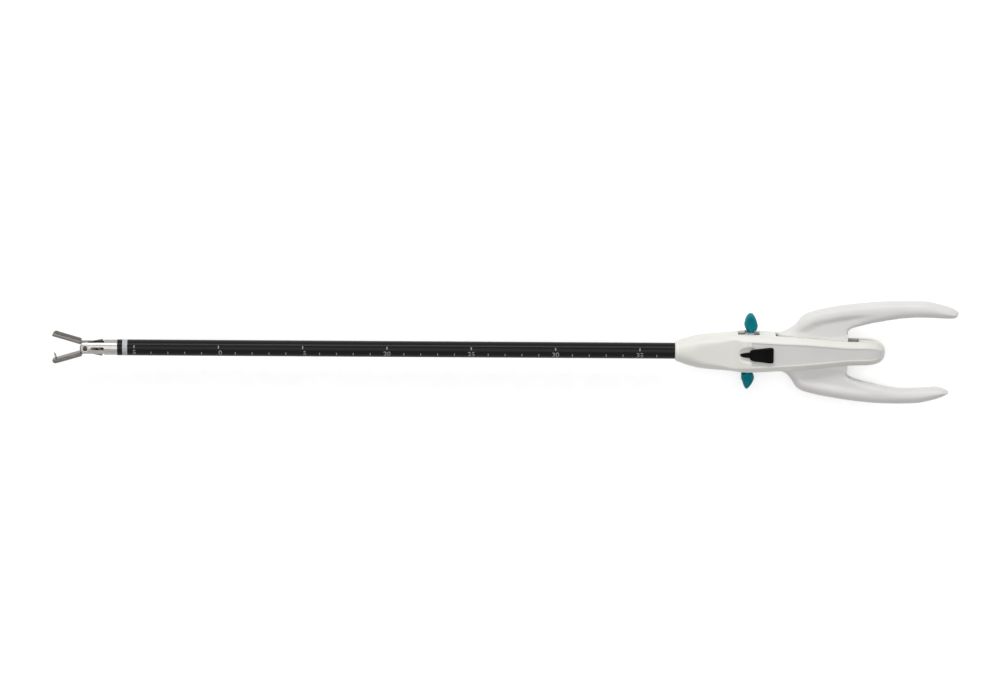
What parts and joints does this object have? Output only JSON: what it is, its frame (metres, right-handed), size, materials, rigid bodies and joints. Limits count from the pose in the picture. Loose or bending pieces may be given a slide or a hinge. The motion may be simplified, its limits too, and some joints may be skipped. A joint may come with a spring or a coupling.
{
  "type": "endoscopic suturing device",
  "caption": "Endoscopic suturing device: long black shaft, pivoting needle jaws at the tip, and a tapered cream handle with squeeze arms, a teal toggle and a black load button.",
  "frame": {"origin": "on the shaft axis, where the shaft leaves the nose of the housing", "axes": "+X along the shaft from the jaws towards the handle, +Y through the upper handle and toggle wing, +Z out of the front shell, which carries the load button"},
  "size_m": [0.5383, 0.0622, 0.0257],
  "materials": {
    "housing_abs": "injection-moulded ABS, cream white, fine satin texture",
    "shaft_black": "smooth black composite tube",
    "marker_grey": "pale grey printed ring",
    "guide_nylon": "moulded natural nylon",
    "seal_silicone": "soft grey silicone",
    "instrument_steel": "stainless steel, fine turned and polished",
    "pin_steel": "ground steel pin",
    "needle_steel": "polished needle",
    "carrier_nylon": "grey glass-filled nylon",
    "toggle_teal": "teal moulded plastic",
    "lever_abs": "grey-white ABS, satin",
    "grip_abs": "cream ABS, satin",
    "spring_steel": "drawn spring wire",
    "button_black": "black moulded button"
  },
  "bodies": {
    "frame": {"housing_front": "housing_abs", "housing_back": "housing_abs", "shaft_tube": "shaft_black", "shaft_tip_ring": "shaft_black", "shaft_marker_ring": "marker_grey", "rod_guides": "guide_nylon", "shaft_seal": "seal_silicone", "jaw_clevis": "instrument_steel", "jaw_pivot_pin": "pin_steel", "arm_pivot_pin_upper": "pin_steel", "arm_pivot_pin_lower": "pin_steel", "return_spring": "spring_steel", "button_spring": "spring_steel"},
    "upper_handle": {"handle_lever_upper": "lever_abs", "handle_grip_upper": "grip_abs"},
    "lower_handle": {"handle_lever_lower": "lever_abs", "handle_grip_lower": "grip_abs"},
    "drive": {"crosshead": "carrier_nylon", "crosshead_pin_upper": "pin_steel", "crosshead_pin_lower": "pin_steel", "drive_rod": "instrument_steel", "rod_yoke": "instrument_steel", "cam_pin": "pin_steel"},
    "upper_jaw": {"jaw_upper": "instrument_steel"},
    "lower_jaw": {"jaw_lower": "instrument_steel", "needle": "needle_steel"},
    "toggle": {"toggle_plate_front": "carrier_nylon", "toggle_plate_back": "carrier_nylon", "toggle_wing_upper": "toggle_teal", "toggle_wing_lower": "toggle_teal", "toggle_drive_pins": "pin_steel"},
    "upper_blade_rod": {"blade_rod_upper": "instrument_steel", "blade_slider_upper": "guide_nylon"},
    "lower_blade_rod": {"blade_rod_lower": "instrument_steel", "blade_slider_lower": "guide_nylon"},
    "upper_blade": {"blade_upper": "instrument_steel"},
    "lower_blade": {"blade_lower": "instrument_steel"},
    "button": {"load_button": "button_black", "button_catch": "instrument_steel"}
  },
  "joints": [
    {"name": "upper_handle_squeeze", "type": "hinge", "parent": "frame", "child": "upper_handle", "pos_m": [0.068, 0.0062, 0], "axis": [0, 0, -1], "range_deg": [0, 10], "stiffness_Nm_per_rad": 1},
    {"name": "lower_handle_squeeze", "type": "hinge", "parent": "frame", "child": "lower_handle", "pos_m": [0.068, -0.0062, 0], "axis": [0, 0, 1], "range_deg": [0, 10]},
    {"name": "drive_slide", "type": "slide", "parent": "frame", "child": "drive", "axis": [1, 0, 0], "range_m": [0, 0.0038], "deforming": ["return_spring"]},
    {"name": "upper_jaw_close", "type": "hinge", "parent": "frame", "child": "upper_jaw", "pos_m": [-0.35, 0, 0], "axis": [0, 0, 1], "range_deg": [0, 16.35]},
    {"name": "lower_jaw_close", "type": "hinge", "parent": "frame", "child": "lower_jaw", "pos_m": [-0.35, 0, 0], "axis": [0, 0, -1], "range_deg": [0, 16.35]},
    {"name": "toggle_tilt", "type": "hinge", "parent": "frame", "child": "toggle", "pos_m": [0.0436, 0, 0], "axis": [0, 0, -1], "range_deg": [-17.6, 12.4]},
    {"name": "upper_blade_rod_slide", "type": "slide", "parent": "frame", "child": "upper_blade_rod", "axis": [1, 0, 0], "range_m": [-0.00137, 0.00096]},
    {"name": "lower_blade_rod_slide", "type": "slide", "parent": "frame", "child": "lower_blade_rod", "axis": [-1, 0, 0], "range_m": [-0.00137, 0.00096]},
    {"name": "upper_blade_slide", "type": "slide", "parent": "upper_jaw", "child": "upper_blade", "axis": [0.9596, -0.2815, 0], "range_m": [-0.00137, 0.00096]},
    {"name": "lower_blade_slide", "type": "slide", "parent": "lower_jaw", "child": "lower_blade", "axis": [-0.9596, -0.2815, 0], "range_m": [-0.00137, 0.00096]},
    {"name": "load_button_slide", "type": "slide", "parent": "frame", "child": "button", "axis": [1, 0, 0], "range_m": [0, 0.003], "stiffness_N_per_m": 300, "deforming": ["button_spring"]}
  ],
  "couplings": [
    {"joint": "lower_handle_squeeze", "follows": "upper_handle_squeeze", "ratio": 1},
    {"joint": "drive_slide", "follows": "upper_handle_squeeze", "m_per_rad": 0.021772},
    {"joint": "upper_jaw_close", "follows": "upper_handle_squeeze", "ratio": 1.635},
    {"joint": "lower_jaw_close", "follows": "upper_handle_squeeze", "ratio": 1.635},
    {"joint": "upper_blade_rod_slide", "follows": "toggle_tilt", "m_per_rad": 0.00445},
    {"joint": "lower_blade_rod_slide", "follows": "toggle_tilt", "m_per_rad": 0.00445},
    {"joint": "upper_blade_slide", "follows": "toggle_tilt", "m_per_rad": 0.00445},
    {"joint": "lower_blade_slide", "follows": "toggle_tilt", "m_per_rad": 0.00445}
  ]
}
